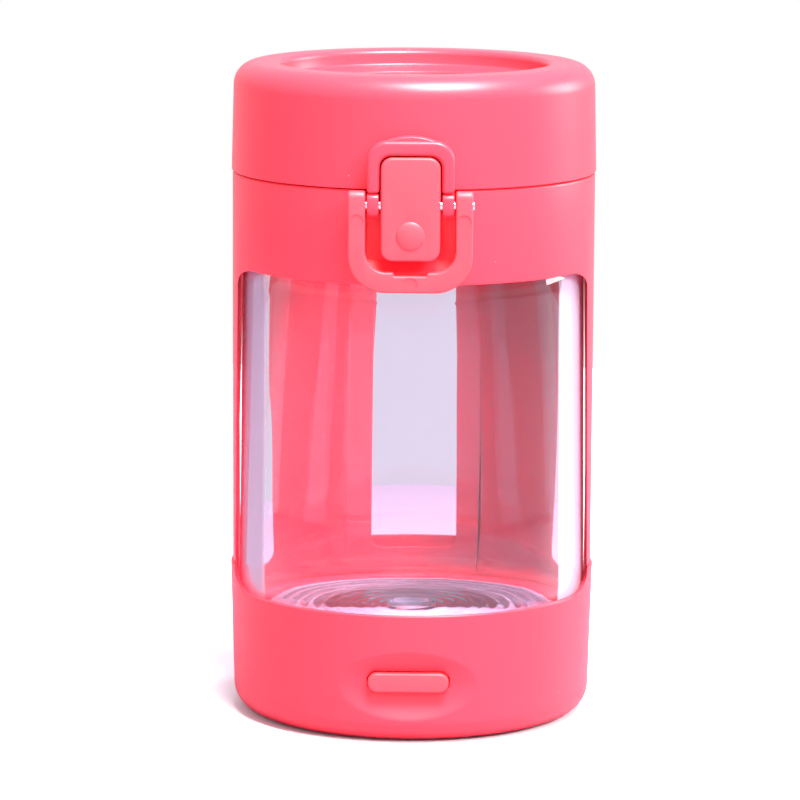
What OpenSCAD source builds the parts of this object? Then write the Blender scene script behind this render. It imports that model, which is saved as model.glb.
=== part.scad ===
// Upright latching storage jar: clear vessel in a moulded sleeve, sprung latch with a swing lock,
// magnifier lid on a rear hinge, and a lit base with a push button.
// Millimetres. The origin is on the jar's axis at the surface it stands on. +Z is up, -Y is the front.

/* [Body] */
// Diameter of the lid
lid_d = 75.2; // [74.8:0.2:76]
// Diameter of the sleeve
sleeve_d = 74.8; // [74.4:0.2:75]
// Diameter of the base at its rim
base_rim_d = 75.6; // [75.4:0.1:76]
// Diameter of the base near its foot
base_foot_d = 74.2; // [73.8:0.2:74.6]
// Overall height
jar_h = 135.3; // [135:0.1:136]
// Height of the seam between lid and sleeve
seam_z = 113; // [112.9:0.05:113.1]
// Height of the base's rim at the sides and back
rim_z = 31.1; // [30.6:0.1:31.4]

/* [Window] */
// Lower edge of the front window
window_lo = 26.7; // [26.4:0.1:27]
// Upper edge of the front window
window_hi = 93.9; // [93:0.1:94]
// Half width of the window at its upper edge
window_top_x = 35.8; // [35.6:0.1:36]
// Half width of the window at its lower edge
window_foot_x = 36.5; // [36:0.1:36.8]
// Corner radius of the window
window_r = 3.6; // [3:0.1:4.5]
// Distance of the side posts' rear edge behind the axis
post_back_y = 2.6; // [2:0.1:4]
// Half width of the back panel at its top
rear_top_x = 34.2; // [33.8:0.1:34.6]
// Half width of the back panel at its foot
rear_foot_x = 31; // [30.5:0.1:32]
// Half width of the slot down the back
slot_x = 9.5; // [9:0.1:10]

/* [Latch] */
// Height of the latch pin
pin_z = 110.3; // [110.2:0.05:110.4]
// Distance of the latch pin in front of the axis
pin_y = 39.6; // [39.5:0.05:39.7]
// Diameter of the latch pin
pin_d = 1.9; // [1.8:0.1:2]
// Width of the latch button
button_w = 11.8; // [11.4:0.1:11.9]
// Lower edge of the latch button
button_lo = 99.3; // [99:0.1:100]
// Upper edge of the latch button
button_hi = 119.9; // [119:0.1:120]
// Outer width of the lock bail
bail_w = 24.8; // [24.6:0.1:25]
// Inner width of the lock bail
bail_in_w = 18; // [17.9:0.1:18.2]

/* [Hinge] */
// Distance of the hinge pin behind the axis
hinge_y = 40.6; // [40.5:0.05:40.8]
// Diameter of the hinge pin
hinge_pin_d = 2.5; // [2.2:0.1:2.6]

/* [Light] */
// Width of the light button
light_w = 16.4; // [16:0.1:16.6]
// Height of the light button
light_h = 4; // [3.8:0.1:4.1]
// Height of the light button's centre line
light_z = 12.7; // [12.6:0.05:12.8]
// Number of lamps on the board
led_count = 6; // [4:1:8]

/* [Hidden] */
$fn = 96;

CORAL = "#fb6a86";
CORAL_LIGHT = "#ff8ea4";

lid_r = lid_d / 2;
sleeve_r = sleeve_d / 2;
rim_r = base_rim_d / 2;
foot_r = base_foot_d / 2;
pin_r = pin_d / 2;
running = 0.05;             // radial clearance of a turning fit
seam_gap = 0.1;             // half the gap between lid and sleeve
lid_lo = seam_z + seam_gap;
sleeve_hi = seam_z - seam_gap;

// Vessel
vessel_top_r = 35.3;
vessel_foot_r = 36;
vessel_z = 19.7;
vessel_floor_z = 21.4;
neck_r = 33.2;
mouth_r = 30.4;
neck_z = 97.6;
mouth_z = 112.4;

// Base
board_z = 9.5;
board_top = 11.1;
ledge_z = 17.2;
skirt_z = 20.4;
plate_z = 0.7;
plate_top = 2.8;
plate_r = 30.8;
boss_r = 27.5;              // radius of the circle that the base's four bosses stand on
post_r = 21;                // radius of the circle that the board's three posts stand on
base_wall_r = 35;
switch_y = -29.0;
battery_h = 4.9;

// Lid
well_r = 27.45;
ledge_top = 131.2;
liner_r = 29.4;
liner_in_r = 27.4;
liner_lo = 107;
liner_top = 127.4;
lid_screw_r = 32.4;
lens_r = 24.2;
arch_front = 40.9;
ridge_r = 13.5;             // radius of the crescent over the arch

// Points of an arc, from angle a to angle b
function arc(cx, cy, r, a, b, n = 8) =
    [for (i = [0:n]) [cx + r * cos(a + (b - a) * i / n), cy + r * sin(a + (b - a) * i / n)]];

// A shape drawn in X and Z, made solid from y0 back to y1
module front(y0, y1) {
    translate([0, y1, 0]) rotate([90, 0, 0]) linear_extrude(y1 - y0) children();
}

// A shape drawn in Y and Z, made solid from x0 to x1
module side(x0, x1) {
    translate([x0, 0, 0]) rotate([90, 0, 90]) linear_extrude(x1 - x0) children();
}

// A shaft or a bore across the jar, along X
module shaft(y, z, r, x0, x1) {
    translate([x0, y, z]) rotate([0, 90, 0]) cylinder(h = x1 - x0, r = r);
}

// A plain ring about the jar's axis
module ring(z0, z1, ro, ri) {
    rotate_extrude() translate([ri, z0]) square([ro - ri, z1 - z0]);
}

// A rectangle with round corners, from [x0, z0] to [x1, z1]
module rounded(x0, z0, x1, z1, r) {
    translate([x0 + r, z0]) square([x1 - x0 - 2 * r, z1 - z0]);
    translate([x0, z0 + r]) square([x1 - x0, z1 - z0 - 2 * r]);
    for (x = [x0 + r, x1 - r], z = [z0 + r, z1 - r])
        translate([x, z]) circle(r = r);
}

// Copies on both sides of the middle
module both_sides() {
    children();
    mirror([1, 0, 0]) children();
}

module on_circle(n, r, start = 0) {
    for (i = [0:n - 1])
        rotate([0, 0, start + i * 360 / n]) translate([r, 0, 0]) children();
}

// ---- sleeve and base ----

// The window's outline: a little wider at the foot, with a round corner at each end
module window_outline() {
    side_points = concat(
        arc(window_foot_x - window_r, window_lo + window_r, window_r, -90, 0),
        arc(window_top_x - window_r, window_hi - window_r, window_r, 0, 90));
    n = len(side_points);
    polygon(concat(side_points, [for (i = [n - 1:-1:0]) [-side_points[i][0], side_points[i][1]]]));
}

// One rear side window, between the side post and the back panel. Its inner edge leans in towards the foot.
module rear_window_outline() {
    r = 3;
    out = 42;
    polygon(concat([[out, window_lo]],
        arc(rear_foot_x + r, window_lo + r, r, 270, 180),
        arc(rear_top_x + r, window_hi - r, r, 180, 90),
        [[out, window_hi]]));
}

module window_cutter() {
    front(-75, -2.2) window_outline();
    both_sides() front(post_back_y, 45) rear_window_outline();
}

module sleeve_profile() {
    polygon([[36.2, skirt_z], [36.9, skirt_z], [36.9, rim_z + 0.1], [sleeve_r, rim_z + 0.1],
        [sleeve_r, sleeve_hi - 0.3], [sleeve_r - 0.3, sleeve_hi], [33.5, sleeve_hi],
        [33.5, neck_z + 0.3], [35.5, 95.7]]);
}

// Ear that carries the latch pin, drawn from the side
module latch_ear_outline() {
    lo = 107.6;
    hi = 112.6;
    front_y = -41.1;
    polygon(concat([[-34.6, lo], [-34.6, hi]],
        arc(front_y + 1.2, hi - 1.2, 1.2, 90, 180),
        arc(front_y + 2.6, lo + 2.6, 2.6, 180, 270)));
}

module hinge_knuckle_outline(lower) {
    translate([hinge_y, seam_z]) circle(r = 3);
    if (lower)
        polygon([[36.6, sleeve_hi - 0.4], [hinge_y, sleeve_hi - 0.4], [43.5, 112.2],
            [42.3, 107], [37, 101], [36.6, 101]]);
    else
        polygon([[37.1, lid_lo + 0.3], [hinge_y, lid_lo + 0.3], [43.5, 113.8],
            [42.3, 118.5], [37.5, 124], [37.1, 124]]);
}

module sleeve() color(CORAL) difference() {
    union() {
        difference() {
            rotate_extrude() sleeve_profile();
            window_cutter();
            // the slot down the back, and the thin lands beside it
            front(20, 45) rounded(-slot_x, rim_z - 3, slot_x, 90, 2.5);
            intersection() {
                ring(34.6, 91, 36.6, 30);
                front(20, 45) rounded(-14.8, 34.6, 14.8, 91, 1);
            }
            // the latch pocket, shallower at its foot, where the vessel's shoulder is close behind
            front(-45, -36.4) rounded(-9, 95.4, 9, 118, 4);
            front(-45, -35) rounded(-9, 98.6, 9, 118, 4);
        }
        both_sides() side(6.35, 8.65) latch_ear_outline();
        both_sides() side(5.2, 9) hinge_knuckle_outline(true);
    }
    shaft(-pin_y, pin_z, pin_r, -9.5, 9.5);
    shaft(hinge_y, seam_z, hinge_pin_d / 2, -9.5, 9.5);
}

module vessel() color("#e6dff2", 0.35) rotate_extrude() polygon(concat(
    [[0, vessel_z + 0.5], [3.6, vessel_z + 0.5], [4.2, vessel_z]],
    arc(vessel_foot_r - 5.5, vessel_z + 5.5, 5.5, -90, -2, 10),
    [[vessel_top_r, 95.3], [neck_r, neck_z], [neck_r, mouth_z - 0.5], [neck_r - 0.5, mouth_z],
        [mouth_r + 0.5, mouth_z], [mouth_r, mouth_z - 0.5], [mouth_r, 99.5]],
    arc(mouth_r + 2.2, 97.5, 1.6, 180, 215, 3),
    arc(34.6 - 5, vessel_floor_z + 5, 5, 0, -90, 10),
    [[5.6, vessel_floor_z], [5.2, vessel_floor_z + 0.35], [4.8, vessel_floor_z], [0, vessel_floor_z]]));

module vessel_pad() color("#f2eef0") ring(18.7, vessel_z, 30, 24.5);

module base_shell_profile() {
    polygon(concat(
        [[31.1, 0.3], [31.1, plate_top], [29.2, plate_top], [29.2, 4.4], [32, 4.4],
            [base_wall_r, 7.4], [base_wall_r, 15.6], [33.6, 16.6], [33.6, ledge_z],
            [base_wall_r, ledge_z], [base_wall_r, skirt_z - 0.1], [37, skirt_z - 0.1],
            [37, rim_z - 0.2], [37.2, rim_z], [rim_r - 0.3, rim_z], [rim_r, rim_z - 0.3]],
        arc(foot_r - 4.8, 5.1, 4.8, 0, -90, 10)));
}

// The soft oval hollow that the light button sits in: a wide trough across the round wall
module light_dish() {
    floor_y = -34.8;
    trough_r = 11.2;
    shaft(floor_y - trough_r, light_z - 0.6, trough_r, -20, 20);
}

module base_shell() color(CORAL) difference() {
    union() {
        rotate_extrude() base_shell_profile();
        // thicker wall behind the light button
        intersection() {
            ring(4, 16.9, 35.6, 30);
            front(-45, -31.6) translate([-16.5, 4]) square([33, 12.9]);
        }
        // bosses for the base plate's screws
        for (a = [45:90:315]) rotate([0, 0, a]) {
            translate([boss_r, 0, plate_top]) cylinder(h = 6.6, r = 2.9);
            translate([boss_r, -1, plate_top]) cube([7.7, 2, 6.6]);
        }
    }
    window_cutter();
    light_dish();
    front(-45, -20) rounded(-light_w / 2 - 0.3, light_z - light_h / 2 - 0.3,
        light_w / 2 + 0.3, light_z + light_h / 2 + 0.3, light_h / 2 + 0.25);
    // charging port at the back
    front(30, 45) rounded(-4.9, light_z - 1.9, 4.9, light_z + 1.9, 1.85);
    on_circle(4, boss_r, 45) translate([0, 0, plate_z]) cylinder(h = 7.2, r = 0.9);
}

module base_plate() color(CORAL) difference() {
    union() {
        ring(plate_z, plate_top, plate_r, 0);
        on_circle(3, post_r, 30) translate([0, 0, plate_top]) cylinder(h = board_z - plate_top, r = 2.4);
        // corner stops that hold the battery, clear of its leads
        for (x = [-16.6, 15.4], y = [-9, 5]) translate([x, y, plate_top]) cube([1.2, 4, 3]);
    }
    on_circle(3, post_r, 30) translate([0, 0, 4]) cylinder(h = 6, r = 0.8);
    on_circle(4, boss_r, 45) {
        translate([0, 0, 0]) cylinder(h = 4, r = 1.3);
        translate([0, 0, 0]) cylinder(h = 1.5, r = 2.4);
    }
    // recess for the foot pad
    ring(0, 1.4, 23.4, 0);
}

// A screw pointing up, its head's underside at z = 0
module screw(head_r, head_h, shank_r, length) {
    difference() {
        union() {
            translate([0, 0, -head_h]) cylinder(h = head_h, r = head_r);
            cylinder(h = length, r = shank_r);
        }
        for (a = [0, 90]) rotate([0, 0, a])
            translate([-head_r * 0.55, -0.25, -head_h - 0.1]) cube([head_r * 1.1, 0.5, head_h * 0.6]);
    }
}

module base_screws() color("#b9bcc2")
    on_circle(4, boss_r, 45) translate([0, 0, 1.5]) screw(2, 0.7, 0.88, 6);

module foot_pad() color("#e9e4e6") ring(0, 1.4, 23.3, 0);

module circuit_board() color("#1d7a4b") difference() {
    intersection() {
        ring(board_z, board_top, 30, 0);
        translate([-40, switch_y + 0.1, 0]) cube([80, 57.3, 20]);
    }
    on_circle(3, post_r, 30) cylinder(h = 20, r = 1.2);
}

module board_screws() color("#b9bcc2")
    on_circle(3, post_r, 30) translate([0, 0, board_top]) rotate([180, 0, 0]) screw(1.9, 0.9, 0.78, 5.5);

module light_switch() color("#2a2c30") {
    translate([-3, switch_y + 0.1, board_top]) cube([6, 3.5, 3.4]);
    translate([0, switch_y + 0.1, light_z + 0.1]) rotate([90, 0, 0]) cylinder(h = 0.25, r = 0.9);
}

module leds() color("#fff6d8")
    on_circle(led_count, 13) translate([-2.5, -2.5, board_top]) difference() {
        cube([5, 5, 1.6]);
        translate([2.5, 2.5, 1.2]) cylinder(h = 1, r = 1.9);
    }

module charge_socket() color("#c6c8cc") difference() {
    front(20.6, 27.9) rounded(-4.5, board_top, 4.5, board_top + 3.2, 1.5);
    front(21.6, 29) rounded(-4.2, board_top + 0.3, 4.2, board_top + 2.9, 1.25);
}

module battery() color("#aab4c4")
    translate([-15, -9, plate_top]) cube([30, 18, battery_h]);

// Two leads that leave the battery's end at half its height, bend up and meet the board's underside
module battery_leads() color("#c8202c") {
    bend_r = 2.4;
    lead_r = 0.55;
    bend_z = plate_top + battery_h / 2 + bend_r;
    for (y = [-3, 0.5]) translate([-15, y, bend_z]) {
        rotate([-90, 0, 0]) rotate([0, 0, 90]) rotate_extrude(angle = 90)
            translate([bend_r, 0]) circle(r = lead_r, $fn = 24);
        translate([-bend_r, 0, 0]) cylinder(h = board_z - bend_z, r = lead_r, $fn = 24);
    }
}

module diffuser() color("#f4f0f4", 0.8) ring(ledge_z, 18.7, 34.6, 0);

// ---- latch ----

module latch_pin() color("#d9dbde") shaft(-pin_y, pin_z, pin_r, -12.4, 12.75);

// A coil of wire along Z, drawn as stacked round turns
module coil(turns, mean_r, wire_r, height) {
    pitch = (height - 2 * wire_r) / (turns - 1);
    for (i = [0:turns - 1])
        translate([0, 0, wire_r + i * pitch]) rotate_extrude($fn = 48)
            translate([mean_r, 0]) circle(r = wire_r, $fn = 16);
}

module latch_spring() color("#d9dbde")
    translate([0, -35, 102.6]) rotate([90, 0, 0]) coil(5, 2, 0.25, 3.4);

module latch_button() color(CORAL_LIGHT) difference() {
    half = button_w / 2;
    front_y = -41.2;
    back_y = -38.5;
    dome_z = 104.3;
    dome_r = 5.4;
    union() {
        front(front_y, back_y) rounded(-half, button_lo, half, button_hi, 2.3);
        intersection() {
            shaft(-pin_y, pin_z, 2, -half, half);
            front(front_y, -30) translate([-20, 100]) square([40, 20]);
        }
        // catch that reaches towards the lid
        side(-3, 3) polygon([[back_y, 116.6], [back_y, 119.4], [-37.75, 119], [-37.75, 117.6]]);
        intersection() {
            translate([0, front_y + dome_r - 0.7, dome_z]) sphere(r = dome_r);
            front(front_y - 1, front_y + 0.5) translate([0, dome_z]) circle(r = 2.65);
        }
    }
    shaft(-pin_y, pin_z, pin_r + running, -half - 1, half + 1);
}

module lock_bail_outline() {
    half = bail_w / 2;
    inner = bail_in_w / 2;
    bottom = 92.9;
    bar_top = 97;
    arm_top = pin_z + 1.4;
    notch = 3.2;
    polygon(concat(
        [[half, arm_top]],
        arc(half - 7.5, bottom + 7.5, 7.5, 0, -90, 12),
        arc(-half + 7.5, bottom + 7.5, 7.5, -90, -180, 12),
        [[-half, arm_top], [-inner, arm_top]],
        arc(-inner + 4.2, bar_top + 4.2, 4.2, 180, 270, 8),
        [[-notch - 0.5, bar_top], [-notch, bar_top - 0.7], [notch, bar_top - 0.7], [notch + 0.5, bar_top]],
        arc(inner - 4.2, bar_top + 4.2, 4.2, 270, 360, 8),
        [[inner, arm_top]]));
}

module lock_bail() color(CORAL_LIGHT) difference() {
    union() {
        front(-pin_y - 1.5, -pin_y + 1.5) lock_bail_outline();
        both_sides() shaft(-pin_y, pin_z + 1.4, 1.5, bail_in_w / 2, bail_w / 2);
    }
    shaft(-pin_y, pin_z, pin_r + running, -20, 20);
}

// ---- light button ----

module light_button() color(CORAL_LIGHT) {
    half = light_w / 2;
    lo = light_z - light_h / 2;
    hi = light_z + light_h / 2;
    front(-36.7, -31.5) rounded(-half, lo, half, hi, light_h / 2 - 0.05);
    front(-31.5, -30.3) rounded(-half - 1.4, lo - 0.4, half + 1.4, hi + 1.4, 1);
    translate([0, -29.7, light_z + 0.1]) rotate([90, 0, 0]) cylinder(h = 1, r = 1.2);
}

// ---- hinge ----

module hinge_pin() color("#d9dbde") shaft(hinge_y, seam_z, hinge_pin_d / 2, -9.4, 9.4);

module hinge_spring() color("#d9dbde")
    translate([-2.3, hinge_y, seam_z]) rotate([0, 90, 0]) coil(5, 2, 0.35, 4.6);

// ---- lid ----

module lid_shell_profile() {
    fillet = 4.66;
    lip = 1.2;
    polygon(concat(
        [[35.4, lid_lo], [lid_r, lid_lo]],
        arc(lid_r - 0.4 - fillet, jar_h - fillet, fillet, 0, 90, 12),
        arc(well_r + lip, jar_h - lip, lip, 90, 180, 6),
        [[25.5, ledge_top + 0.6], [22, ledge_top], [22, ledge_top - 1.6], [27.5, ledge_top - 1.6],
            [29.6, 132.2], [30.4, 133.2]],
        arc(lid_r - 0.4 - fillet, jar_h - fillet, fillet - 2, 90, 0, 8),
        [[35.4, 129]]));
}

module arch_outline(half, top, r) {
    difference() {
        rounded(-half, 100, half, top, r);
        translate([-20, 90]) square([40, 112.75 - 90]);
    }
}

module lid_shell() color(CORAL) difference() {
    union() {
        rotate_extrude() lid_shell_profile();
        difference() {
            union() {
                front(-arch_front, -36) arch_outline(8.7, 123.1, 4);
                // low crescent behind the face, which fits the bail's notch when the bail is swung up
                front(-40.1, -36) intersection() {
                    translate([0, 124 - ridge_r]) circle(r = ridge_r);
                    translate([-6.5, 120]) square([13, 5]);
                }
            }
            cylinder(h = 200, r = 36.6);
            // below the seam the legs stay clear of the sleeve
            ring(100, lid_lo, lid_r + 0.3, 0);
            front(-50, -30) arch_outline(6.2, 120.2, 2.3);
        }
        both_sides() side(2.6, 5) hinge_knuckle_outline(false);
        // bosses for the liner's screws
        on_circle(4, lid_screw_r, 45) translate([0, 0, 115.6]) cylinder(h = 18.6, r = 2.3);
        for (a = [45:90:315]) rotate([0, 0, a])
            translate([lid_screw_r, -0.8, 115.6]) cube([3.8, 1.6, 15]);
    }
    // pocket for the latch's catch
    front(-39, -36.3) rounded(-3.4, 116.2, 3.4, 119.8, 0.5);
    shaft(hinge_y, seam_z, hinge_pin_d / 2 + running, -20, 20);
    on_circle(4, lid_screw_r, 45) cylinder(h = 123, r = 0.85);
}

module lid_liner() color(CORAL) difference() {
    rotate_extrude() polygon([[liner_in_r, liner_lo], [liner_r - 0.4, liner_lo], [liner_r, liner_lo + 0.4],
        [liner_r, 113.6], [35, 113.6], [35, 115.4], [liner_r, 115.4], [liner_r, liner_top],
        [22.6, liner_top], [22.6, liner_top - 1.5], [liner_in_r, liner_top - 1.5]]);
    on_circle(4, lid_screw_r, 45) {
        cylinder(h = 120, r = 1.2);
        translate([0, 0, 112]) cylinder(h = 2.6, r = 2.1);
    }
}

module lid_screws() color("#b9bcc2")
    on_circle(4, lid_screw_r, 45) translate([0, 0, 114.6]) screw(1.9, 0.8, 0.83, 7.5);

module lid_seal() color("#f4eff1") rotate_extrude() polygon([[liner_r, 108.9], [29.8, 108.9],
    [30.2, 109.6], [29.8, 110.2], [30.2, 110.8], [29.8, 111.5], [liner_r, 111.5]]);

module rim_gasket() color("#f4eff1") ring(112.55, 113.58, 32.9, liner_r + 0.03);

module lens() color("#dfe9f5", 0.35) rotate_extrude() polygon(concat(
    [[0, liner_top + 0.4], [lens_r, liner_top + 0.4], [lens_r, ledge_top - 1.6], [21.7, ledge_top - 1.6]],
    // crown of the magnifier: an arc through its edge and its middle
    [for (i = [0:12]) let (a = 17.2 * (1 - i / 12)) [73.4 * sin(a), 132.6 - 73.4 * (1 - cos(a))]]));

module lens_gasket() color("#f4eff1") ring(liner_top, liner_top + 0.4, lens_r, 22.6);

sleeve();
vessel();
vessel_pad();
base_shell();
base_plate();
base_screws();
foot_pad();
circuit_board();
board_screws();
light_switch();
leds();
charge_socket();
battery();
battery_leads();
diffuser();
latch_pin();
latch_spring();
hinge_pin();
hinge_spring();
latch_button();
lock_bail();
light_button();
lid_shell();
lid_liner();
lid_seal();
rim_gasket();
lens();
lens_gasket();
lid_screws();
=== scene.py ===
"""Looks of a latching jar with a lit base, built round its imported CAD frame. Metres, +Z up, front at -Y."""
import math

import bpy
from mathutils import Matrix, Vector


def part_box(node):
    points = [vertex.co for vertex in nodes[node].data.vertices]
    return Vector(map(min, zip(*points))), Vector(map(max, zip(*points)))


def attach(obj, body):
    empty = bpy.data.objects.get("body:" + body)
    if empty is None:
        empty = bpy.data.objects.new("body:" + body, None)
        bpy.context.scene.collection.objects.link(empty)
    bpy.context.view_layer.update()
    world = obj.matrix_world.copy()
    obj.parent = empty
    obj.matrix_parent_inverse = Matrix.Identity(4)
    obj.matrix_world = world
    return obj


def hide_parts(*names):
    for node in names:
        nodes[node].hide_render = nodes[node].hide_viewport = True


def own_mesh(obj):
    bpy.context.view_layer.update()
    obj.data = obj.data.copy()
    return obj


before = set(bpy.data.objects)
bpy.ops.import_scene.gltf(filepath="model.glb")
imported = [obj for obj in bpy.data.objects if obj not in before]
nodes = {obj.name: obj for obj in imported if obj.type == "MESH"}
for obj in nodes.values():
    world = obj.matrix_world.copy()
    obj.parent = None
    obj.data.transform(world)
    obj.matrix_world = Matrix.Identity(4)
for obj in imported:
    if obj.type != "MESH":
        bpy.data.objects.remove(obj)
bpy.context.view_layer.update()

MM = 0.001

# places that several pieces share, in millimetres
rim_z = 31.1                         # top of the base's rim
pin_y, pin_z = -39.6, 110.3          # axis of the latch's pin
hinge_y, hinge_z = 40.6, 113.0       # axis of the lid's hinge
pin_hole_r = 1.0                     # holes that the latch's pin goes through
base_screw_circle = 27.5
lid_screw_circle = 32.4


# ---- small helpers ----

def srgb(hex_colour, alpha=1.0):
    """An sRGB hex colour as linear RGBA."""
    def linear(c):
        return c / 12.92 if c <= 0.04045 else ((c + 0.055) / 1.055) ** 2.4
    h = hex_colour.lstrip("#")
    return tuple(linear(int(h[i:i + 2], 16) / 255) for i in (0, 2, 4)) + (alpha,)


def per_metre(spacing_mm):
    """The scale of a noise or a Voronoi whose features are this many millimetres apart."""
    return 1 / (spacing_mm * MM)


def new_material(name):
    """A material with an empty node tree."""
    material = bpy.data.materials.new(name)
    material.use_nodes = True
    tree = material.node_tree
    tree.nodes.clear()
    return material, tree


def add(tree, kind, links=None, **settings):
    """Adds a node. Settings are attributes, or socket values where the name starts with in_."""
    node = tree.nodes.new(kind)
    for name, value in settings.items():
        if name.startswith("in_"):
            key = name[3:]
            socket = node.inputs[int(key)] if key.isdigit() else node.inputs[key.replace("_", " ")]
            socket.default_value = value
        else:
            setattr(node, name, value)
    for socket, source in (links or {}).items():
        tree.links.new(source, node.inputs[socket])
    return node


# ---- materials ----

def moulded_plastic(name, light, deep, roughness, soak):
    """Injection-moulded plastic: soft gloss over a fine spark-eroded grain, a slow drift of colour from the
    way the melt flowed, and a few pale dust specks. soak is the share of light that sinks in."""
    material, tree = new_material(name)
    where = add(tree, "ShaderNodeTexCoord").outputs["Object"]
    drift = add(tree, "ShaderNodeTexNoise", {"Vector": where}, in_Scale=per_metre(45), in_Detail=2.0)
    colour = add(tree, "ShaderNodeMix", {"Factor": drift.outputs["Fac"]}, data_type="RGBA",
                 in_6=srgb(light), in_7=srgb(deep))
    dust = add(tree, "ShaderNodeTexVoronoi", {"Vector": where}, in_Scale=per_metre(7))
    speck = add(tree, "ShaderNodeMapRange", {"Value": dust.outputs["Distance"]},
                in_1=0.0, in_2=0.03, in_3=0.6, in_4=0.0)
    dusty = add(tree, "ShaderNodeMix", {"Factor": speck.outputs[0], 6: colour.outputs[2]},
                data_type="RGBA", in_7=srgb("#ffc9d1"))
    # the grain is about 0.05 mm on the part, drawn at 0.35 mm so that it shows
    grain = add(tree, "ShaderNodeTexNoise", {"Vector": where}, in_Scale=per_metre(0.35), in_Detail=3.0)
    gloss = add(tree, "ShaderNodeMapRange", {"Value": grain.outputs["Fac"]},
                in_1=0.3, in_2=0.7, in_3=roughness - 0.04, in_4=roughness + 0.05)
    bump = add(tree, "ShaderNodeBump", {"Height": grain.outputs["Fac"]},
               in_Strength=0.12, in_Distance=0.04 * MM)
    shader = add(tree, "ShaderNodeBsdfPrincipled",
                 {"Base Color": dusty.outputs[2], "Roughness": gloss.outputs[0],
                  "Normal": bump.outputs["Normal"]},
                 in_IOR=1.5, in_Subsurface_Weight=soak, in_Subsurface_Scale=2 * MM)
    shader.inputs["Subsurface Radius"].default_value = (1.0, 0.25, 0.3)
    add(tree, "ShaderNodeOutputMaterial", {"Surface": shader.outputs[0]})
    return material


def lets_lamps_through(tree, shader, tint):
    """Clear walls pass the lamps' light instead of casting a black shadow."""
    path = add(tree, "ShaderNodeLightPath")
    gap = add(tree, "ShaderNodeBsdfTransparent", in_Color=srgb(tint))
    mixed = add(tree, "ShaderNodeMixShader",
                {0: path.outputs["Is Shadow Ray"], 1: shader.outputs[0], 2: gap.outputs[0]})
    add(tree, "ShaderNodeOutputMaterial", {"Surface": mixed.outputs[0]})


def vessel_styrene(name):
    """Blow-moulded clear polystyrene with a faint violet cast: slow upright waves in the wall bend what is
    seen through it, fine flow marks streak it, and edge-on the thick outer wall looks milky lavender."""
    material, tree = new_material(name)
    where = add(tree, "ShaderNodeTexCoord").outputs["Object"]
    stretch = add(tree, "ShaderNodeMapping", {"Vector": where})
    stretch.inputs["Scale"].default_value = (1.0, 1.0, 0.1)
    wave = add(tree, "ShaderNodeTexNoise", {"Vector": stretch.outputs[0]},
               in_Scale=per_metre(5), in_Detail=1.0)
    bump = add(tree, "ShaderNodeBump", {"Height": wave.outputs["Fac"]},
               in_Strength=0.15, in_Distance=0.25 * MM)
    parts = add(tree, "ShaderNodeSeparateXYZ", {0: where})
    flat = add(tree, "ShaderNodeCombineXYZ", {0: parts.outputs[0], 1: parts.outputs[1]})
    radius = add(tree, "ShaderNodeVectorMath", {0: flat.outputs[0]}, operation="LENGTH")
    outer_wall = add(tree, "ShaderNodeMapRange", {"Value": radius.outputs["Value"]},
                     in_1=34.9 * MM, in_2=35.1 * MM, in_3=0.0, in_4=1.0)
    edge_on = add(tree, "ShaderNodeLayerWeight", in_Blend=0.5)
    grazing = add(tree, "ShaderNodeMapRange", {"Value": edge_on.outputs["Facing"]},
                  in_1=0.485, in_2=0.52, in_3=0.0, in_4=0.9)
    milky = add(tree, "ShaderNodeMath", {0: outer_wall.outputs[0], 1: grazing.outputs[0]},
                operation="MULTIPLY")
    clear = add(tree, "ShaderNodeMath", {1: milky.outputs[0]}, operation="SUBTRACT", in_0=1.0)
    colour = add(tree, "ShaderNodeMix", {"Factor": milky.outputs[0]}, data_type="RGBA",
                 in_6=srgb("#f5f2f9"), in_7=srgb("#b09ab0"))
    shader = add(tree, "ShaderNodeBsdfPrincipled",
                 {"Base Color": colour.outputs[2], "Normal": bump.outputs["Normal"],
                  "Transmission Weight": clear.outputs[0]},
                 in_Roughness=0.02, in_IOR=1.5)
    lets_lamps_through(tree, shader, "#f4eef8")
    return material


def clear_plastic(name, tint, ior):
    """Polished clear acrylic: flat, bright and hardly tinted."""
    material, tree = new_material(name)
    where = add(tree, "ShaderNodeTexCoord").outputs["Object"]
    haze = add(tree, "ShaderNodeTexNoise", {"Vector": where}, in_Scale=per_metre(4), in_Detail=2.0)
    rough = add(tree, "ShaderNodeMapRange", {"Value": haze.outputs["Fac"]}, in_3=0.01, in_4=0.03)
    shader = add(tree, "ShaderNodeBsdfPrincipled", {"Roughness": rough.outputs[0]},
                 in_IOR=ior, in_Transmission_Weight=1.0)
    shader.inputs["Base Color"].default_value = srgb(tint)
    lets_lamps_through(tree, shader, tint)
    return material


def fine_finish(name, light, deep, roughness, grain_mm, metallic=0.0, transmission=0.0):
    """A solid finish with a fine grain: two close tones, and roughness and relief from the same grain."""
    material, tree = new_material(name)
    where = add(tree, "ShaderNodeTexCoord").outputs["Object"]
    grain = add(tree, "ShaderNodeTexNoise", {"Vector": where}, in_Scale=per_metre(grain_mm), in_Detail=3.0)
    colour = add(tree, "ShaderNodeMix", {"Factor": grain.outputs["Fac"]}, data_type="RGBA",
                 in_6=srgb(light), in_7=srgb(deep))
    rough = add(tree, "ShaderNodeMapRange", {"Value": grain.outputs["Fac"]},
                in_3=roughness * 0.8, in_4=min(1.0, roughness * 1.2))
    bump = add(tree, "ShaderNodeBump", {"Height": grain.outputs["Fac"]},
               in_Strength=0.2, in_Distance=0.02 * MM)
    shader = add(tree, "ShaderNodeBsdfPrincipled",
                 {"Base Color": colour.outputs[2], "Roughness": rough.outputs[0],
                  "Normal": bump.outputs["Normal"]},
                 in_Metallic=metallic, in_Transmission_Weight=transmission)
    add(tree, "ShaderNodeOutputMaterial", {"Surface": shader.outputs[0]})
    return material


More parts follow.
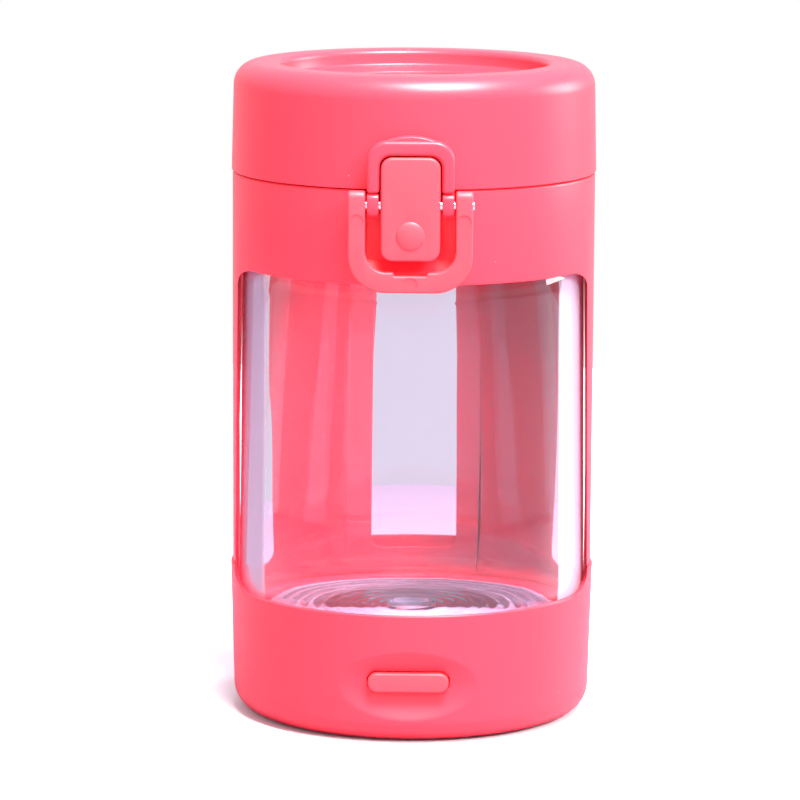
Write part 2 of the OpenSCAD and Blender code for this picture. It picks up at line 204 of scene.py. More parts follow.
def brushed_turned_steel(name):
    """Polished drawn steel: bright, with fine marks round the wire and pins."""
    material, tree = new_material(name)
    where = add(tree, "ShaderNodeTexCoord").outputs["Object"]
    stretch = add(tree, "ShaderNodeMapping", {"Vector": where})
    stretch.inputs["Scale"].default_value = (0.1, 1.0, 1.0)
    marks = add(tree, "ShaderNodeTexNoise", {"Vector": stretch.outputs[0]},
                in_Scale=per_metre(0.12), in_Detail=2.0)
    rough = add(tree, "ShaderNodeMapRange", {"Value": marks.outputs["Fac"]}, in_3=0.08, in_4=0.2)
    bump = add(tree, "ShaderNodeBump", {"Height": marks.outputs["Fac"]},
               in_Strength=0.15, in_Distance=0.01 * MM)
    shader = add(tree, "ShaderNodeBsdfPrincipled",
                 {"Roughness": rough.outputs[0], "Normal": bump.outputs["Normal"]}, in_Metallic=1.0)
    shader.inputs["Base Color"].default_value = srgb("#dddee1")
    add(tree, "ShaderNodeOutputMaterial", {"Surface": shader.outputs[0]})
    return material


coral_abs = moulded_plastic("coral_moulded_abs", "#fd3a4a", "#fb3344", 0.36, 0.06)
coral_pp = moulded_plastic("light_coral_polypropylene", "#ff4650", "#fe404b", 0.44, 0.12)
vessel_clear = vessel_styrene("clear_polystyrene_vessel")
lens_clear = clear_plastic("polished_acrylic_lens", "#f6f9fb", 1.49)
milky_silicone = fine_finish("milky_silicone", "#f2ecef", "#e9e2e6", 0.45, 0.5, transmission=0.3)
milky_diffuser = fine_finish("frosted_diffuser", "#f6eff7", "#efe7f1", 0.5, 0.4, transmission=0.15)
pad_foam = fine_finish("closed_cell_foam_pad", "#e3dde0", "#cfc8cb", 0.85, 0.3)
pin_steel = brushed_turned_steel("polished_stainless_steel")
zinc_plate = fine_finish("zinc_plated_steel", "#c2c5ca", "#a9adb4", 0.32, 0.2, metallic=1.0)
port_nickel = fine_finish("nickel_plated_steel", "#cdcfd3", "#babdc2", 0.26, 0.3, metallic=1.0)
board_mask = fine_finish("green_solder_mask", "#1f7d4e", "#1a7146", 0.35, 1.2)
black_nylon = fine_finish("black_glass_filled_nylon", "#2d2f33", "#232528", 0.5, 0.2)
lamp_phosphor = fine_finish("lamp_phosphor_in_resin", "#fff3c9", "#ffe9a8", 0.3, 0.3)
lamp_body = fine_finish("white_lamp_housing", "#f5f5f2", "#e9e9e6", 0.4, 0.3)
cell_foil = fine_finish("battery_pouch_foil", "#b3bccb", "#9aa5b6", 0.35, 2.0, metallic=0.85)
lead_vinyl = fine_finish("red_vinyl_insulation", "#cc2430", "#b81d28", 0.45, 0.4)
gold_flash = fine_finish("gold_flashed_copper", "#e2bd62", "#cfa748", 0.25, 0.3, metallic=1.0)


# ---- modelling helpers ----

def start_piece():
    """Object mode, with nothing selected."""
    if bpy.context.object and bpy.context.object.mode != "OBJECT":
        bpy.ops.object.mode_set(mode="OBJECT")
    bpy.ops.object.select_all(action="DESELECT")


def only(piece):
    """Makes this piece the only one selected, and active."""
    start_piece()
    piece.select_set(True)
    bpy.context.view_layer.objects.active = piece


def apply_modifier(piece, kind, **settings):
    """Adds a modifier with its settings and applies it."""
    only(piece)
    modifier = piece.modifiers.new(kind.lower(), kind)
    for name, value in settings.items():
        setattr(modifier, name, value)
    bpy.ops.object.modifier_apply(modifier=modifier.name)


def round_edges(piece, width_mm, segments=3, sharper_than=35):
    """Rounds every edge that turns by more than an angle."""
    apply_modifier(piece, "BEVEL", width=width_mm * MM, segments=segments, limit_method="ANGLE",
                   angle_limit=math.radians(sharper_than), use_clamp_overlap=False)


def combine(piece, operation, *tools):
    """Works the tools' shapes into the piece with booleans, and removes the tools."""
    for tool in tools:
        apply_modifier(piece, "BOOLEAN", operation=operation, object=tool, solver="MANIFOLD")
        bpy.data.objects.remove(tool, do_unlink=True)
    return piece


def cut(piece, *tools):
    """Takes the tools' shapes out of the piece."""
    return combine(piece, "DIFFERENCE", *tools)


def keep_common(piece, tool):
    """Keeps only what the piece shares with the tool."""
    return combine(piece, "INTERSECT", tool)


def join_solids(piece, *others):
    """Fuses other solids into the piece."""
    return combine(piece, "UNION", *others)


def cad_corners(node):
    """The low and high corners of a CAD node's box, in millimetres."""
    return (corner / MM for corner in map(Vector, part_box(node)))


def on_diagonals(circle_r):
    """Four places on a circle, halfway between the axes: the angle, and x and y in millimetres."""
    for i in range(4):
        a = math.radians(45 + 90 * i)
        yield a, circle_r * math.cos(a), circle_r * math.sin(a)


def from_cad(name, node):
    """A copy of a CAD node's mesh, its loose triangles merged into whole faces, ready to be worked on."""
    piece = nodes[node].copy()
    piece.data = nodes[node].data.copy()
    piece.parent = None
    piece.matrix_world = Matrix.Identity(4)
    piece.name = name
    piece.data.name = name
    for key in [key for key in piece.keys()]:
        del piece[key]
    bpy.context.scene.collection.objects.link(piece)
    only(piece)
    bpy.ops.object.mode_set(mode="EDIT")
    bpy.ops.mesh.select_all(action="SELECT")
    bpy.ops.mesh.remove_doubles(threshold=2e-6)
    bpy.ops.mesh.dissolve_limited(angle_limit=math.radians(0.5))
    bpy.ops.object.mode_set(mode="OBJECT")
    return piece


def block(x0, y0, z0, x1, y1, z1):
    """A cube between two corners, in millimetres."""
    start_piece()
    middle = ((x0 + x1) / 2 * MM, (y0 + y1) / 2 * MM, (z0 + z1) / 2 * MM)
    bpy.ops.mesh.primitive_cube_add(size=1, location=middle)
    piece = bpy.context.object
    piece.scale = ((x1 - x0) * MM, (y1 - y0) * MM, (z1 - z0) * MM)
    bpy.ops.object.transform_apply(location=True, rotation=True, scale=True)
    return piece


def round_upright_edges(piece, axis, radius_mm, segments=8, where=lambda middle: True):
    """Rounds the edges that run along an axis, where a test of their middle, in millimetres, holds."""
    only(piece)
    bpy.ops.object.mode_set(mode="EDIT")
    bpy.ops.mesh.select_mode(type="EDGE")
    bpy.ops.mesh.select_all(action="DESELECT")
    bpy.ops.object.mode_set(mode="OBJECT")
    mesh = piece.data
    for edge in mesh.edges:
        a, b = (mesh.vertices[i].co for i in edge.vertices)
        along = (b - a).normalized()
        edge.select = abs(along[axis]) > 0.99 and where((a + b) / 2 / MM)
    bpy.ops.object.mode_set(mode="EDIT")
    bpy.ops.mesh.bevel(offset=radius_mm * MM, segments=segments)
    bpy.ops.object.mode_set(mode="OBJECT")
    return piece


def rounded_block(x0, y0, z0, x1, y1, z1, radius, axis=1, segments=8):
    """A block whose four edges along an axis are rounded."""
    return round_upright_edges(block(x0, y0, z0, x1, y1, z1), axis, radius, segments)


def rod(radius, length, middle, axis="Z", sides=48):
    """A cylinder about a middle point, in millimetres."""
    start_piece()
    turn = {"X": (0, math.pi / 2, 0), "Y": (math.pi / 2, 0, 0), "Z": (0, 0, 0)}[axis]
    bpy.ops.mesh.primitive_cylinder_add(vertices=sides, radius=radius * MM, depth=length * MM,
                                        location=[c * MM for c in middle], rotation=turn)
    bpy.ops.object.transform_apply(location=True, rotation=True, scale=True)
    return bpy.context.object


def ball(radius, middle, sides=64):
    """A sphere about a middle point, in millimetres."""
    start_piece()
    bpy.ops.mesh.primitive_uv_sphere_add(segments=sides, ring_count=sides // 2, radius=radius * MM,
                                         location=[c * MM for c in middle])
    bpy.ops.object.transform_apply(location=True, rotation=True, scale=True)
    return bpy.context.object


def taper(piece, axis, factor, above_mm):
    """Scales the points above a height along one axis, about the middle."""
    for vertex in piece.data.vertices:
        if vertex.co.z > above_mm * MM:
            vertex.co[axis] *= factor
    return piece


def turned(profile, steps=160):
    """A closed ring turned about the jar's axis: a circle is extruded and scaled from one point of the
    profile to the next, and doubles are merged where the profile comes back to its start."""
    start_piece()
    r, z = profile[0]
    bpy.ops.mesh.primitive_circle_add(vertices=steps, radius=r * MM, location=(0, 0, z * MM),
                                      fill_type="NOTHING")
    piece = bpy.context.object
    bpy.ops.object.transform_apply(location=True, rotation=True, scale=True)
    bpy.ops.object.mode_set(mode="EDIT")
    bpy.ops.mesh.select_all(action="SELECT")
    for next_r, next_z in profile[1:]:
        bpy.ops.mesh.extrude_edges_move(TRANSFORM_OT_translate={"value": (0, 0, (next_z - z) * MM)})
        bpy.ops.transform.resize(value=(next_r / r, next_r / r, 1), center_override=(0, 0, next_z * MM))
        r, z = next_r, next_z
    bpy.ops.mesh.select_all(action="SELECT")
    bpy.ops.mesh.remove_doubles(threshold=1e-6)
    bpy.ops.mesh.normals_make_consistent(inside=False)
    bpy.ops.object.mode_set(mode="OBJECT")
    return piece


def arc(centre_r, centre_z, radius, start, end, count=8):
    """Points along an arc of a profile, angles in degrees."""
    points = []
    for i in range(count + 1):
        a = math.radians(start + (end - start) * i / count)
        points.append((centre_r + radius * math.cos(a), centre_z + radius * math.sin(a)))
    return points


def merge(pieces):
    """Joins pieces into one object."""
    start_piece()
    for piece in pieces:
        piece.select_set(True)
    bpy.context.view_layer.objects.active = pieces[0]
    bpy.ops.object.join()
    return pieces[0]


def hand_over(piece, name, material, body, slot, *replaced, smooth=32):
    """Names a finished piece, gives it its finish, and makes it ride on its body in place of CAD nodes."""
    piece.name = name
    piece.data.name = name
    piece.data.materials.clear()
    piece.data.materials.append(material)
    only(piece)
    bpy.ops.object.shade_smooth_by_angle(angle=math.radians(smooth))
    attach(piece, body)
    if replaced:
        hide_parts(*replaced)
    return piece


def keep_inside(piece, *cad_nodes):
    """Brings any point that rounding pushed past the CAD nodes' own box back onto it."""
    corners = [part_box(node) for node in cad_nodes]
    low = [min(c[0][i] for c in corners) for i in range(3)]
    high = [max(c[1][i] for c in corners) for i in range(3)]
    for vertex in piece.data.vertices:
        vertex.co = [min(max(vertex.co[i], low[i]), high[i]) for i in range(3)]


# ---- coral mouldings ----

def make_soft_edged(name, node, material, body, slot, width):
    """A moulding as the CAD has it, with every sharp edge rounded as a mould leaves it."""
    piece = from_cad(name, node)
    round_edges(piece, width)
    keep_inside(piece, node)
    hand_over(piece, name, material, body, slot, node)


def window_tool():
    """The front window's shape: round corners, and a little wider at the foot."""
    tool = rounded_block(-36.5, -75, 26.7, 36.5, -2.2, 93.9, 3.6)
    return taper(tool, 0, 35.8 / 36.5, 60)


def rear_window_tool(side):
    """A rear side window's shape, on the side of that sign: its inner edge leans in towards the foot."""
    tool = rounded_block(31, 2.6, 26.7, 60, 55, 93.9, 3)
    for vertex in tool.data.vertices:
        if vertex.co.z > 60 * MM and vertex.co.x < 45 * MM:
            vertex.co.x += 3.2 * MM
    if side < 0:
        tool.data.transform(Matrix.Rotation(math.pi, 4, "Z") @ Matrix.Scale(-1, 4, (0, 1, 0)))
        tool.data.flip_normals()
    return tool


def side_plate(x0, x1, outline):
    """A plate between two places across the jar, from an outline of (y, z) points."""
    start_piece()
    bpy.ops.mesh.primitive_circle_add(vertices=len(outline), radius=1, fill_type="NGON")
    plate = bpy.context.object
    for vertex, (y, z) in zip(plate.data.vertices, outline):
        vertex.co = (x0 * MM, y * MM, z * MM)
    bpy.ops.object.mode_set(mode="EDIT")
    bpy.ops.mesh.select_all(action="SELECT")
    bpy.ops.mesh.extrude_region_move(TRANSFORM_OT_translate={"value": ((x1 - x0) * MM, 0, 0)})
    bpy.ops.mesh.select_all(action="SELECT")
    bpy.ops.mesh.normals_make_consistent(inside=False)
    bpy.ops.object.mode_set(mode="OBJECT")
    return plate


def knuckle(x0, x1, lower):
    """A hinge knuckle with the web that runs into the wall above or below it."""
    radius = 3.0
    if lower:
        outline = arc(hinge_y, hinge_z, radius, 0, 180, 16)
        outline += [(37.6, 112.5), (36.7, 112.4), (36.7, 101), (37.2, 101), (42.3, 107), (43.5, 112.2)]
    else:
        outline = arc(hinge_y, hinge_z, radius, 180, 360, 16)
        outline += [(43.5, 113.8), (42.3, 118.5), (37.6, 123.8), (37.2, 123.8), (37.2, 113.45), (37.6, 113.4)]
    plate = side_plate(x0, x1, outline)
    round_edges(plate, 0.2, segments=2)
    return plate


def make_sleeve():
    """The sleeve: a turned wall with the front window, two rear side windows, the slot down the back with
    a thin land on each side, the latch pocket, the latch ears and the hinge knuckles."""
    low_z, seam, r = 20.4, 112.9, 37.4
    wall = turned([(36.2, low_z), (36.9, low_z), (36.9, 31.2), (r, 31.2), (r, 70), (r, seam - 0.3),
                   (r - 0.3, seam), (33.5, seam), (33.5, 97.9), (35.5, 95.7), (36.2, 60), (36.2, low_z)], 192)
    # the pocket's floor slopes forward at its foot, over the vessel's shoulder
    slope = side_plate(-12, 12, [(-50, 90), (-36.6, 90), (-36.6, 96.5),
                                 (-34, 100.5), (-34, 120), (-50, 120)])
    recess = keep_common(rounded_block(-9, -45, 95.4, 9, -35, 118, 4), slope)
    slot = rounded_block(-9.5, 20, 28.1, 9.5, 45, 90, 2.5)
    # beside the slot the wall is thinned from inside
    land = keep_common(rounded_block(-14.8, 20, 34.6, 14.8, 45, 91, 1), rod(36.6, 80, (0, 0, 62), "Z", 192))
    cut(wall, window_tool(), rear_window_tool(1), rear_window_tool(-1), slot, land, recess)
    round_edges(wall, 0.28, segments=3, sharper_than=40)
    ears = []
    for x0, x1 in ((-8.65, -6.35), (6.35, 8.65)):
        ear = [(-34.6, 107.6), (-34.6, 112.6)] + arc(-41.1 + 1.2, 111.4, 1.2, 90, 180, 8)
        ear += arc(-41.1 + 2.6, 110.2, 2.6, 180, 270, 10)
        plate = side_plate(x0, x1, ear)
        round_edges(plate, 0.25, segments=2)
        ears.append(plate)
    join_solids(wall, *ears, knuckle(-9, -5.2, True), knuckle(5.2, 9, True))
    cut(wall, rod(pin_hole_r, 20, (0, pin_y, pin_z), "X"), rod(1.25, 20, (0, hinge_y, hinge_z), "X"))
    keep_inside(wall, "sleeve")
    hand_over(wall, "moulded_sleeve", coral_abs, "jar", "coral_plastic", "sleeve")


def press_dish(wall):
    """Presses the soft oval hollow round the light button into the base's wall, a point at a time."""
    middle_z, half_w, half_h, depth = 12.1, 14.2, 7.2, 2.35
    only(wall)
    bpy.ops.object.mode_set(mode="EDIT")
    bpy.ops.mesh.select_mode(type="FACE")
    bpy.ops.mesh.select_all(action="DESELECT")
    bpy.ops.object.mode_set(mode="OBJECT")
    for face in wall.data.polygons:
        c = face.center / MM
        face.select = c.y < -30 and abs(c.x) < 17 and 3.5 < c.z < 21 and c.xy.length > 36
    bpy.ops.object.mode_set(mode="EDIT")
    bpy.ops.mesh.subdivide(number_cuts=3)
    bpy.ops.object.mode_set(mode="OBJECT")
    for vertex in wall.data.vertices:
        x, y, z = vertex.co / MM
        if y > -30 or math.hypot(x, y) < 36:
            continue
        out = math.hypot(x / half_w, (z - middle_z) / half_h)
        if out >= 1:
            continue
        # deepest by the button, with a soft shoulder at the oval rim
        vertex.co.y = (y + depth * (1 - out ** 2.4) ** 1.25) * MM


def make_base():
    """The base shell: a turned bowl with the windows' dips, the oval hollow, the button's slot, the port."""
    rim, foot_r = 37.8, 37.1
    heights = [5.1 + i * (rim_z - 0.3 - 5.1) / 22 for i in range(23)]
    outside = arc(foot_r - 4.8, 5.1, 4.8, -90, 0, 12)
    outside += [(foot_r + (rim - foot_r) * (z - 5.1) / (rim_z - 5.4), z) for z in heights[1:]]
    inside = [(rim - 0.3, rim_z), (37.2, rim_z), (37.0, rim_z - 0.2), (37.0, 20.3), (33.4, 20.3),
              (33.4, 17.2), (33.4, 4.4), (29.2, 4.4), (29.2, 2.8), (31.1, 2.8), (31.1, 0.3)]
    wall = turned([(31.1, 0.3)] + outside + inside, 192)
    press_dish(wall)
    bosses = []
    for a, x, y in on_diagonals(base_screw_circle):
        bosses.append(rod(2.9, 6.6, (x, y, 6.1), "Z", 32))
        web = block(base_screw_circle, -1, 2.9, 34, 1, 9.3)
        web.data.transform(Matrix.Rotation(a, 4, "Z"))
        bosses.append(web)
    join_solids(wall, *bosses)
    slot = rounded_block(-8.4, -45, 10.5, 8.4, -20, 14.9, 2.15, segments=12)
    port = rounded_block(-4.9, 30, 10.8, 4.9, 45, 14.6, 1.85)
    holes = [rod(0.9, 7.2, (x, y, 4.3), "Z", 24) for _, x, y in on_diagonals(base_screw_circle)]
    cut(wall, window_tool(), rear_window_tool(1), rear_window_tool(-1), slot, port, *holes)
    round_edges(wall, 0.22, segments=3, sharper_than=50)
    keep_inside(wall, "base_shell")
    hand_over(wall, "moulded_base", coral_abs, "jar", "coral_plastic", "base_shell")


def make_lid():
    """The lid: a turned cap with a round well, the arch over the latch with its ridge, and two knuckles."""
    r, lid_lo, top, fillet = 37.6, 113.1, 135.3, 4.66
    wall = turned([(35.4, lid_lo), (r - 0.15, lid_lo), (r, lid_lo + 0.15), (r - 0.2, 122)]
                  + arc(r - 0.4 - fillet, top - fillet, fillet, 0, 90, 16)
                  + arc(28.65, top - 1.2, 1.2, 90, 180, 8)
                  + arc(26.7, 132.7, 0.75, 0, -60, 4)[1:]
                  + [(25.5, 131.8), (22.2, 131.2), (22, 131.0), (22, 129.6),
                     (27.5, 129.6), (29.6, 132.2), (30.4, 133.2)]
                  + arc(r - 0.4 - fillet, top - fillet, fillet - 2, 90, 0, 8)
                  + [(35.4, 129), (35.4, lid_lo)], 192)
    arch = block(-8.7, -40.9, 112.75, 8.7, -36.9, 123.1)
    round_upright_edges(arch, 1, 4, 12, lambda middle: middle.z > 120)
    cut(arch, rounded_block(-6.2, -50, 100, 6.2, -30, 120.2, 2.3))
    round_edges(arch, 0.75, segments=5, sharper_than=40)
    # the crescent behind the arch's face, which the bail's notch fits over
    ridge_r, ridge_top = 13.5, 124
    ridge = keep_common(rod(ridge_r, 3.2, (0, -38.5, ridge_top - ridge_r), "Y", 160),
                        block(-6.5, -45, 121, 6.5, -30, 126))
    round_edges(ridge, 0.3, segments=3, sharper_than=40)
    join_solids(arch, ridge)
    # the legs end clear of the sleeve
    cut(arch, turned([(36, 100), (37.9, 100), (37.9, lid_lo), (36, lid_lo), (36, 100)], 96))
    pocket = rounded_block(-3.4, -39, 116.2, 3.4, -36.3, 119.8, 0.5)
    join_solids(wall, arch, knuckle(2.6, 5, False), knuckle(-5, -2.6, False))
    cut(wall, pocket, rod(1.3, 30, (0, hinge_y, hinge_z), "X"))
    bosses = [cut(rod(2.3, 18.0, (x, y, 124.6), "Z", 32), rod(0.85, 8, (x, y, 119), "Z", 24))
              for _, x, y in on_diagonals(lid_screw_circle)]
    join_solids(wall, *bosses)
    keep_inside(wall, "lid_shell")
    hand_over(wall, "moulded_lid", coral_abs, "lid", "coral_plastic", "lid_shell")


def make_latch_plate():
    """The push plate: a soft-edged slab with a low dome in a dimple, a barrel and the catch behind."""
    low, high = cad_corners("latch_button")
    front, back = -41.2, -38.5
    plate = rounded_block(low.x, front, low.z, high.x, back, high.z, 2.3)
    round_edges(plate, 0.55, segments=5)
    # the dome is a flattened ball, centred on the floor of a shallow round dimple
    dome_z, dome_r, flattening = 104.3, 2.95, 0.3
    dimple_r, dimple_depth = 30, 0.22
    cut(plate, ball(dimple_r, (0, front - dimple_r + dimple_depth, dome_z)))
    dome = ball(dome_r, (0, 0, 0))
    dome.data.transform(Matrix.Translation((0, (front + dimple_depth) * MM, dome_z * MM))
                        @ Matrix.Scale(flattening, 4, (0, 1, 0)))
    barrel = rod(1.9, high.x - low.x - 0.8, (0, pin_y + 0.45, pin_z), "X")
    catch = block(-3, back - 0.3, 116.6, 3, high.y, 119.3)
    round_edges(catch, 0.25)
    join_solids(plate, dome, barrel, catch)
    cut(plate, rod(pin_hole_r, 30, (0, pin_y, pin_z), "X"))
    keep_inside(plate, "latch_button")
    hand_over(plate, "latch_plate", coral_pp, "latch_button", "coral_light_plastic", "latch_button")


def make_bail():
    """The swing lock: a soft-edged U with a notch in its bar and three ejector-pin marks in its face."""
    low, high = cad_corners("lock_bail")
    inner = 9.0
    bail = block(low.x, low.y, low.z, high.x, high.y, high.z)
    round_upright_edges(bail, 1, 7.5, 14, lambda middle: middle.z < 95)
    round_upright_edges(bail, 0, 1.45, 8, lambda middle: middle.z > 112)
    gap = block(-inner, low.y - 2, 97.0, inner, high.y + 2, high.z + 6)
    round_upright_edges(gap, 1, 4.2, 12, lambda middle: middle.z < 98)
    notch = block(-3.3, low.y - 2, 96.3, 3.3, high.y + 2, 99)
    round_upright_edges(notch, 1, 0.3, 3, lambda middle: middle.z < 98)
    cut(bail, gap, notch)
    round_edges(bail, 0.42, segments=4)
    # each ejector pin leaves a round mark 0.16 mm deep
    for x, z in ((-10.7, 107.2), (10.7, 107.2), (0, 94.6)):
        cut(bail, rod(1.4, 1.0, (x, low.y - 0.34, z), "Y"))
    cut(bail, rod(pin_hole_r, 30, (0, pin_y, pin_z), "X"))
    keep_inside(bail, "lock_bail")
    hand_over(bail, "swing_lock_bail", coral_pp, "lock_bail", "coral_light_plastic", "lock_bail")


def make_light_button():
    """The pill-shaped push button, with a generous round edge."""
    low, high = cad_corners("light_button")
    half, z_low, z_high = 8.2, 10.7, 14.7
    pill = rounded_block(-half, low.y, z_low, half, -31.5, z_high, 1.95, segments=10)
    round_edges(pill, 0.5, segments=5)
    flange = rounded_block(low.x, -31.8, low.z, high.x, -30.3, high.z, 1.0)
    stem = rod(1.2, -low.y + high.y, (0, (low.y + high.y) / 2 + 0.2, 12.8), "Y")
    join_solids(pill, flange, stem)
    keep_inside(pill, "light_button")
    hand_over(pill, "light_push_button", coral_pp, "light_button", "coral_light_plastic", "light_button")


# ---- clear parts ----

def vessel_profile():
    """The vessel's section: outer wall, neck, mouth, inner wall and a floor with rings left by blowing.
    Both of its ends stop 0.01 mm from the axis."""
    foot_r, foot_z, foot_round, floor_z = 36.0, 19.7, 5.5, 21.4
    floor_r, floor_round, gate_r = 34.6, 5, 6.2
    ring_spacing, ring_height = 2.6, 0.16
    outside = [(0.01, foot_z + 0.5), (3.6, foot_z + 0.5), (4.2, foot_z)]
    outside += arc(foot_r - foot_round, foot_z + foot_round, foot_round, -90, -2, 14)
    outside += [(35.3 + 0.7 * (95.3 - z) / 70, z) for z in range(30, 95, 5)] + [(35.3, 95.3)]
    neck = [(33.2, 97.6), (33.2, 111.9)] + arc(32.7, 111.9, 0.5, 0, 90, 4)
    neck += arc(30.9, 111.9, 0.5, 90, 180, 4) + [(30.4, 99.5)] + arc(32.6, 97.5, 1.6, 180, 215, 4)
    flat_r = floor_r - floor_round
    inside = arc(flat_r, floor_z + floor_round, floor_round, 0, -90, 14)
    count = 60
    for i in range(1, count + 1):
        r = flat_r + (gate_r - flat_r) * i / count
        ripple = 0.5 * (1 - math.cos(2 * math.pi * (flat_r - r) / ring_spacing))
        inside.append((r, floor_z + ring_height * ripple))
    # the gate's ring in the middle of the floor
    gate = [(5.7, floor_z), (5.4, floor_z + 0.42), (5.1, floor_z + 0.42), (4.8, floor_z),
            (0.01, floor_z - 0.1)]
    return outside + neck + inside + gate


def make_vessel():
    """The vessel, turned from its section."""
    vessel = turned(vessel_profile(), 192)
    hand_over(vessel, "clear_vessel", vessel_clear, "jar", "clear_plastic", "vessel", smooth=60)


# ---- springs, pins and hidden parts ----

def helix(wire_r, mean_r, turns, length):
    """A coil of wire along Z from the origin, open at its ends: a circle carried by the Screw modifier."""
    start_piece()
    bpy.ops.mesh.primitive_circle_add(vertices=12, radius=wire_r * MM, location=(mean_r * MM, 0, 0),
                                      rotation=(math.pi / 2, 0, 0), fill_type="NGON")
    wire = bpy.context.object
    bpy.ops.object.transform_apply(location=True, rotation=True, scale=True)
    apply_modifier(wire, "SCREW", angle=2 * math.pi * turns, screw_offset=(length - 2 * wire_r) * MM,
                   steps=int(28 * turns), render_steps=int(28 * turns), use_merge_vertices=True, axis="Z")
    only(wire)
    bpy.ops.object.mode_set(mode="EDIT")
    bpy.ops.mesh.select_all(action="SELECT")
    bpy.ops.mesh.normals_make_consistent(inside=False)
    bpy.ops.object.mode_set(mode="OBJECT")
    wire.data.transform(Matrix.Translation((0, 0, wire_r * MM)))
    return wire


def make_springs():
    """The latch's spring stands on the pocket's floor, and the hinge's lies along its pin."""
    latch_seat = (0, -35 * MM, 102.6 * MM)
    hinge_seat = (-2.3 * MM, hinge_y * MM, hinge_z * MM)
    latch = helix(0.25, 2.0, 4, 3.4)
    latch.data.transform(Matrix.Translation(latch_seat) @ Matrix.Rotation(math.pi / 2, 4, "X"))
    hand_over(latch, "latch_return_spring", pin_steel, "jar", "polished_steel", "latch_spring")
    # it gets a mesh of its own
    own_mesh(latch)
    hinge = helix(0.35, 2.0, 5, 4.6)
    hinge.data.transform(Matrix.Translation(hinge_seat) @ Matrix.Rotation(math.pi / 2, 4, "Y"))
    hand_over(hinge, "hinge_torsion_spring", pin_steel, "jar", "polished_steel", "hinge_spring")


def make_pins():
    """Each pin is a ground rod with a small chamfer at its ends."""
    for name, node in (("latch_pivot_pin", "latch_pin"), ("hinge_pivot_pin", "hinge_pin")):
        low, high = cad_corners(node)
        middle = (low + high) / 2
        pin = rod((high.z - low.z) / 2, high.x - low.x, middle, "X")
        round_edges(pin, 0.2, segments=2)
        keep_inside(pin, node)
        hand_over(pin, name, pin_steel, "jar", "polished_steel", node)


def make_board_parts():
    """Small parts on the circuit board: two chips, resistors and capacitors, and the port's tongue."""
    top = 11.1
    chips = [block(-9, 8, top, -4, 12, top + 0.9), block(5, 9, top, 9, 12.5, top + 0.8)]
    for chip in chips:
        round_edges(chip, 0.12, segments=2)
    hand_over(merge(chips), "board_chips", black_nylon, "jar", "black_plastic")
    passives = [block(x - 0.5, y - 0.25, top, x + 0.5, y + 0.25, top + 0.45)
                for x, y in ((-3, 15), (3, 15), (-11, 3), (11, 3), (-5, -4),
                             (0, -4), (5, -4), (-7, 16), (7, 16))]
    for passive in passives:
        round_edges(passive, 0.06, segments=2)
    hand_over(merge(passives), "board_resistors", cell_foil, "jar", "plated_shell")
    tongue = rounded_block(-3.1, 21.9, 12.35, 3.1, 27.3, 13.05, 0.3)
    hand_over(tongue, "port_tongue", black_nylon, "jar", "black_plastic")
    pads = [block(x - 0.13, 23.5, 13.05, x + 0.13, 27.0, 13.09)
            for x in (-2.4, -1.6, -0.8, 0.0, 0.8, 1.6, 2.4)]
    hand_over(merge(pads), "port_contacts", gold_flash, "jar", "plated_shell")


def make_lamps():
    """Each lamp is a white housing with a yellow phosphor pool in its cup."""
    pools = []
    for i in range(6):
        a = 2 * math.pi * i / 6
        centre = Matrix.Rotation(a, 4, "Z") @ Vector((13, 0, 0))
        pools.append(rod(1.85, 0.25, (centre.x, centre.y, 12.43), "Z", 32))
    hand_over(merge(pools), "lamp_phosphor_pools", lamp_phosphor, "jar", "led_resin")


def dress(material, *names):
    """Puts a material on CAD nodes whose shape is right as it is."""
    for name in names:
        mesh = nodes[name].data
        mesh.materials.clear()
        mesh.materials.append(material)


make_sleeve()
make_base()
make_lid()
make_soft_edged("moulded_lid_liner", "lid_liner", coral_abs, "lid", "coral_plastic", 0.2)
make_soft_edged("moulded_base_plate", "base_plate", coral_abs, "jar", "coral_plastic", 0.2)
make_soft_edged("foam_foot_pad", "foot_pad", pad_foam, "jar", "foot_rubber", 0.3)
make_soft_edged("battery_cell", "battery", cell_foil, "jar", "battery_foil", 0.6)
make_soft_edged("side_press_switch", "light_switch", black_nylon, "jar", "black_plastic", 0.15)
make_latch_plate()
make_bail()
make_light_button()
make_vessel()
make_springs()
make_pins()
make_board_parts()
make_lamps()
dress(lens_clear, "lens")
dress(milky_silicone, "vessel_pad", "lid_seal", "rim_gasket", "lens_gasket")
dress(milky_diffuser, "diffuser")
dress(zinc_plate, "base_screws", "board_screws", "lid_screws")
dress(port_nickel, "charge_socket")
dress(board_mask, "circuit_board")
dress(lamp_body, "leds")
dress(lead_vinyl, "battery_leads")


# ---- stage, lights and camera ----

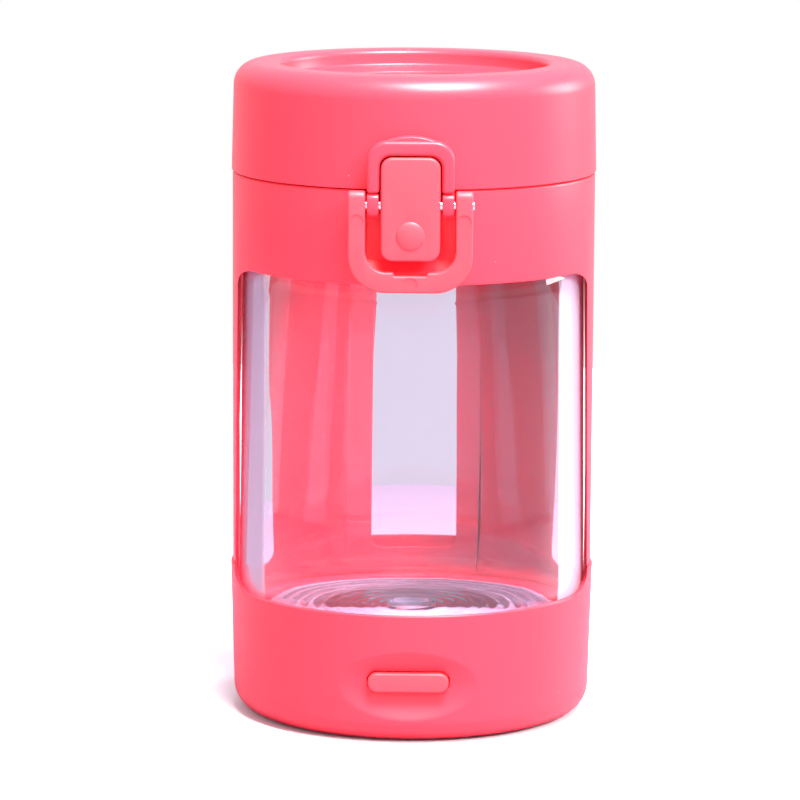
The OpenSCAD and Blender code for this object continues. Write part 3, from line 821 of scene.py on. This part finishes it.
def make_stage():
    """A wide pale floor that ends a little way behind the jar."""
    start_piece()
    bpy.ops.mesh.primitive_plane_add(size=1, location=(0, -0.55, 0))
    floor = bpy.context.object
    floor.name = "floor"
    floor.scale = (6, 2, 1)
    bpy.ops.object.transform_apply(location=True, scale=True)
    material, tree = new_material("pale_floor_with_painted_shadow")
    where = add(tree, "ShaderNodeTexCoord")
    mottle = add(tree, "ShaderNodeTexNoise", {"Vector": where.outputs["Object"]}, in_Scale=4.0)
    tone = add(tree, "ShaderNodeMix", {"Factor": mottle.outputs["Fac"]}, data_type="RGBA",
               in_6=srgb("#fbf9fc"), in_7=srgb("#f6f4f8"))
    # white to the lens, and a darker dusky pink for what it throws back on the jar and shows through the
    # vessel: a painted shadow and pink bounce of the jar on the floor behind it
    path = add(tree, "ShaderNodeLightPath")
    seen = add(tree, "ShaderNodeMix", {"Factor": path.outputs["Is Camera Ray"], 7: tone.outputs[2]},
               data_type="RGBA", in_6=srgb("#a58ea2"))
    shader = add(tree, "ShaderNodeBsdfPrincipled", {"Base Color": seen.outputs[2]}, in_Roughness=0.6)
    add(tree, "ShaderNodeOutputMaterial", {"Surface": shader.outputs[0]})
    floor.data.materials.append(material)


def area_light(name, location, target, size, power, glossy=True):
    """A square soft box aimed at a point. One that isn't glossy lights the jar but isn't mirrored in it."""
    data = bpy.data.lights.new(name, "AREA")
    data.shape = "SQUARE"
    data.size = size
    data.energy = power
    light = bpy.data.objects.new(name, data)
    bpy.context.scene.collection.objects.link(light)
    light.visible_glossy = glossy
    light.visible_transmission = False
    light.location = location
    light.rotation_euler = (Vector(target) - Vector(location)).to_track_quat("-Z", "Y").to_euler()


def make_lights():
    """A pale room and four soft boxes: key at the right, a weak front fill, top and rim."""
    world = bpy.data.worlds.new("studio")
    bpy.context.scene.world = world
    world.use_nodes = True
    tree = world.node_tree
    tree.nodes.clear()
    # white card behind the jar as the lens sees it, and a pale lavender room for everything else
    card = add(tree, "ShaderNodeBackground", in_Color=(1.0, 1.0, 1.0, 1), in_Strength=1.0)
    room = add(tree, "ShaderNodeBackground", in_Color=srgb("#efecf6"), in_Strength=0.97)
    path = add(tree, "ShaderNodeLightPath")
    both = add(tree, "ShaderNodeMixShader",
               {0: path.outputs["Is Camera Ray"], 1: room.outputs[0], 2: card.outputs[0]})
    add(tree, "ShaderNodeOutputWorld", {"Surface": both.outputs[0]})
    middle = (0, 0, 0.07)
    area_light("key", (0.6, -0.8, 0.68), middle, 0.3, 12.5, glossy=False)
    area_light("front", (-0.05, -1.1, 0.3), middle, 0.3, 0.7, glossy=False)
    area_light("top", (0.2, -0.3, 0.95), middle, 0.45, 32)
    area_light("rim", (0.9, 0.35, 0.35), middle, 0.4, 6)


def make_camera():
    """A long lens 0.93 m away, looking down by 9.5 degrees."""
    data = bpy.data.cameras.new("camera")
    data.sensor_width = 36.0
    data.lens = 201.0
    data.clip_end = 50
    camera = bpy.data.objects.new("camera", data)
    bpy.context.scene.collection.objects.link(camera)
    turn = Matrix.Rotation(math.radians(1.05), 4, "Z")
    tilt = Matrix.Rotation(math.radians(90 - 9.5), 4, "X")
    roll = Matrix.Rotation(math.radians(0.32), 4, "Z")
    camera.matrix_world = Matrix.Translation((0.0142, -0.9174, 0.2182)) @ turn @ tilt @ roll
    bpy.context.scene.camera = camera


make_stage()
make_lights()
make_camera()
bpy.context.scene.view_settings.view_transform = "Standard"
